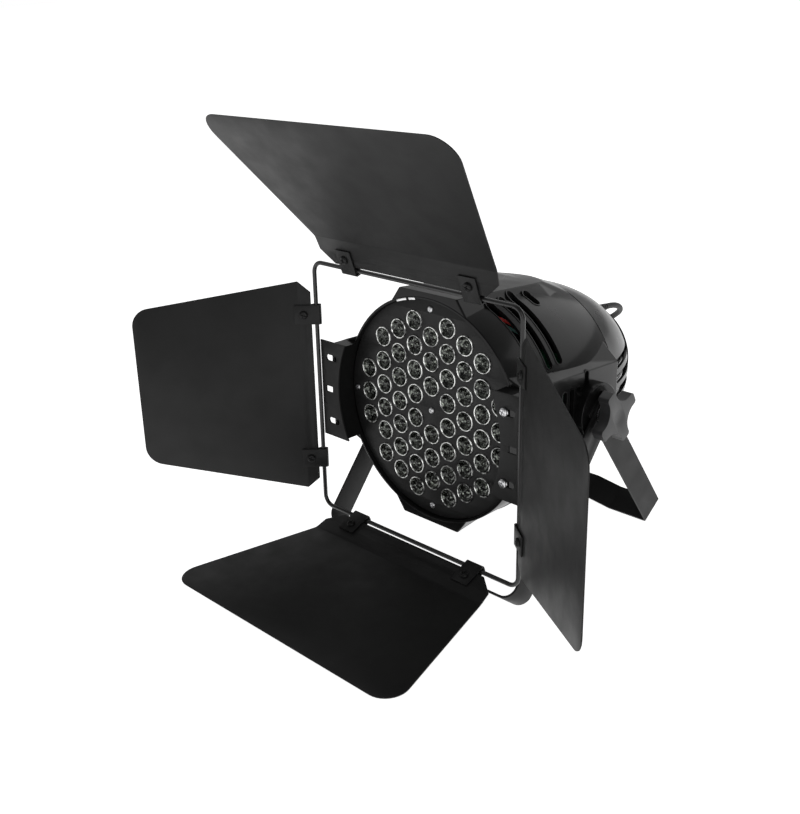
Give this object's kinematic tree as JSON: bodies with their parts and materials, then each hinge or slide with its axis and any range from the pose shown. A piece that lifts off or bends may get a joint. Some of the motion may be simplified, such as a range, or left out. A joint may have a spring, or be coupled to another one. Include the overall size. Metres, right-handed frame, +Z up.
{
  "type": "par can light",
  "caption": "Stage par can with an LED face, a tapering vented housing, two U yokes on star knobs and a barn door with four hinged leaves.",
  "frame": {"origin": "middle of the bottom of the object's box, on the floor it stands on, measured without the mains lead", "axes": "+X to the right seen from the front, +Y towards the back, +Z up; the beam points towards -Y and 3.9 degrees upwards"},
  "size_m": [0.5033, 0.5576, 0.4138],
  "materials": {
    "aluminium": "plain",
    "black_gloss": "gloss black",
    "black_plastic": "satin black",
    "black_powder": "powder coated black",
    "black_rubber": "matt black",
    "black_satin": "satin black",
    "board": "white solder mask",
    "display": "dark red window",
    "green_board": "green solder mask",
    "green_wire": "green insulation",
    "grey_plastic": "dark grey",
    "lens": "clear",
    "red_wire": "red insulation",
    "steel": "plain"
  },
  "bodies": {
    "head": {"control_panel": "black_plastic", "cord_coil": "black_rubber", "cord_gland": "black_plastic", "cord_lead": "black_rubber", "cord_relief": "black_rubber", "cord_tail": "black_rubber", "cord_tie": "black_plastic", "display_window": "display", "dmx_in_socket": "black_plastic", "dmx_out_socket": "black_plastic", "fan_frame": "black_plastic", "heat_sink": "aluminium", "housing_shell": "black_gloss", "led_board": "board", "led_cover_plate": "black_satin", "lens_array": "lens", "mains_plug": "black_rubber", "plate_screw_lower": "steel", "plate_screw_upper": "steel", "power_supply": "green_board", "rear_cap": "black_gloss", "side_plate_left": "black_powder", "side_plate_right": "black_powder", "wire_frame": "black_satin", "wire_green": "green_wire", "wire_red": "red_wire"},
    "front_yoke": {"front_yoke": "black_powder"},
    "rear_yoke": {"rear_yoke": "black_powder"},
    "fan_rotor": {"fan_rotor": "black_plastic"},
    "knob_left": {"knob_left": "grey_plastic", "knob_stud_left": "steel", "knob_washer_left": "steel"},
    "knob_right": {"knob_right": "grey_plastic", "knob_stud_right": "steel", "knob_washer_right": "steel"},
    "leaf_top": {"leaf_top": "black_powder", "clamp_top_1": "black_satin", "clamp_top_2": "black_satin", "clamp_screw_top_1": "black_satin", "clamp_screw_top_2": "black_satin"},
    "leaf_bottom": {"leaf_bottom": "black_powder", "clamp_bottom_1": "black_satin", "clamp_bottom_2": "black_satin", "clamp_screw_bottom_1": "black_satin", "clamp_screw_bottom_2": "black_satin"},
    "leaf_left": {"leaf_left": "black_powder", "clamp_left_1": "black_satin", "clamp_left_2": "black_satin", "clamp_screw_left_1": "black_satin", "clamp_screw_left_2": "black_satin"},
    "leaf_right": {"leaf_right": "black_powder", "clamp_right_1": "black_satin", "clamp_right_2": "black_satin", "clamp_screw_right_1": "black_satin", "clamp_screw_right_2": "black_satin"},
    "button_1": {"button_1": "grey_plastic"},
    "button_2": {"button_2": "grey_plastic"},
    "button_3": {"button_3": "grey_plastic"},
    "button_4": {"button_4": "grey_plastic"}
  },
  "joints": [
    {"name": "front_yoke_swing", "type": "hinge", "parent": "head", "child": "front_yoke", "pos_m": [-0.0056, 0.07808, 0.1423], "axis": [1, 0, 0], "range_deg": [0, 110]},
    {"name": "rear_yoke_swing", "type": "hinge", "parent": "head", "child": "rear_yoke", "pos_m": [-0.0056, 0.07808, 0.1423], "axis": [1, 0, 0], "range_deg": [-85, 38]},
    {"name": "knob_left_turn", "type": "hinge", "parent": "head", "child": "knob_left", "pos_m": [-0.1212, 0.07808, 0.1423], "axis": [-1, 0, 0], "continuous": true},
    {"name": "knob_right_turn", "type": "hinge", "parent": "head", "child": "knob_right", "pos_m": [0.11, 0.07808, 0.1423], "axis": [1, 0, 0], "continuous": true},
    {"name": "leaf_top_swing", "type": "hinge", "parent": "head", "child": "leaf_top", "pos_m": [-0.0056, -0.03286, 0.27016], "axis": [-1, 0, 0], "range_deg": [-60, 59]},
    {"name": "leaf_bottom_swing", "type": "hinge", "parent": "head", "child": "leaf_bottom", "pos_m": [-0.0056, -0.04922, 0.03072], "axis": [1, 0, 0], "range_deg": [-13, 34]},
    {"name": "leaf_left_swing", "type": "hinge", "parent": "head", "child": "leaf_left", "pos_m": [-0.1256, -0.04104, 0.15044], "axis": [0, -0.0682, -0.9977], "range_deg": [-57, 62]},
    {"name": "leaf_right_swing", "type": "hinge", "parent": "head", "child": "leaf_right", "pos_m": [0.1144, -0.04104, 0.15044], "axis": [0, 0.0682, 0.9977], "range_deg": [-62, 57]},
    {"name": "fan_spin", "type": "hinge", "parent": "head", "child": "fan_rotor", "pos_m": [-0.0056, 0.03777, 0.14506], "axis": [0, 0.9977, -0.0682], "continuous": true},
    {"name": "button_1_press", "type": "slide", "parent": "head", "child": "button_1", "axis": [0, -0.9977, 0.0682], "range_m": [0, 0.0012], "stiffness_N_per_m": 400},
    {"name": "button_2_press", "type": "slide", "parent": "head", "child": "button_2", "axis": [0, -0.9977, 0.0682], "range_m": [0, 0.0012], "stiffness_N_per_m": 400},
    {"name": "button_3_press", "type": "slide", "parent": "head", "child": "button_3", "axis": [0, -0.9977, 0.0682], "range_m": [0, 0.0012], "stiffness_N_per_m": 400},
    {"name": "button_4_press", "type": "slide", "parent": "head", "child": "button_4", "axis": [0, -0.9977, 0.0682], "range_m": [0, 0.0012], "stiffness_N_per_m": 400}
  ]
}
